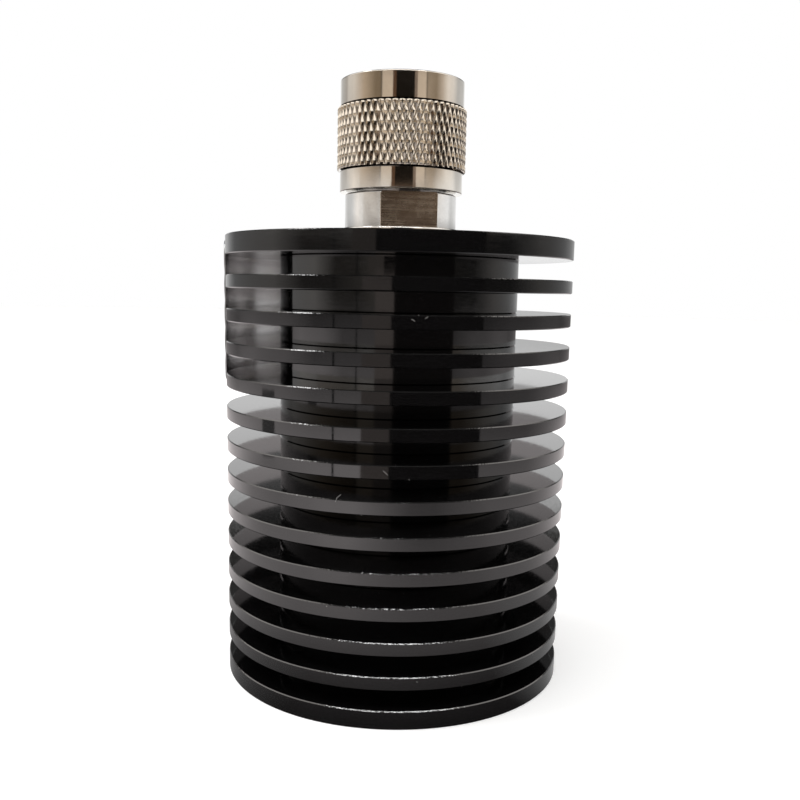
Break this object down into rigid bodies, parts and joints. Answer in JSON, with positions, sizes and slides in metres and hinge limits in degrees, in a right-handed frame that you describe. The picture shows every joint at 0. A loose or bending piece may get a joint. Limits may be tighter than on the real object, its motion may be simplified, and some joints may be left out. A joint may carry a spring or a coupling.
{
  "type": "rf dummy load",
  "caption": "Coaxial dummy load: round ring-finned black heat sink standing on its base disc, with a male threaded coaxial plug and captive knurled nut on top.",
  "frame": {"origin": "centre of the base face, which the load stands on", "axes": "+Z along the plug's axis, out of the plug's mouth; -Y towards the viewer of the picture, +X to the viewer's right"},
  "size_m": [0.0552, 0.0552, 0.0938],
  "materials": {
    "black_anodised": "glossy black anodised, fine turning marks, bright edge breaks",
    "label_foil": "bare satin foil",
    "nickel_plate": "bright nickel plate on brass",
    "spring_steel": "plain spring steel",
    "silicone": "matt silicone rubber",
    "contact_plate": "white bronze plate on brass",
    "gold_plate": "gold plate on brass",
    "white_insulator": "waxy white fluoropolymer",
    "bare_brass": "turned brass",
    "bare_aluminium": "turned aluminium",
    "film_ceramic": "dull grey resistive film on ceramic"
  },
  "bodies": {
    "load": {"heat_sink": "black_anodised", "rating_label": "label_foil", "connector_body": "nickel_plate", "snap_ring": "spring_steel", "plug_gasket": "silicone", "outer_contact": "contact_plate", "centre_pin": "gold_plate", "front_insulator": "white_insulator", "rear_insulator": "white_insulator", "clamp_ring": "bare_brass", "matching_sleeve": "bare_aluminium", "resistor_rod": "film_ceramic", "resistor_hot_cap": "contact_plate", "resistor_ground_cap": "contact_plate"},
    "nut": {"coupling_nut": "nickel_plate"}
  },
  "joints": [
    {"name": "coupling_nut_spin", "type": "hinge", "parent": "load", "child": "nut", "pos_m": [0, 0, 0.0782], "axis": [0, 0, 1], "continuous": true}
  ]
}
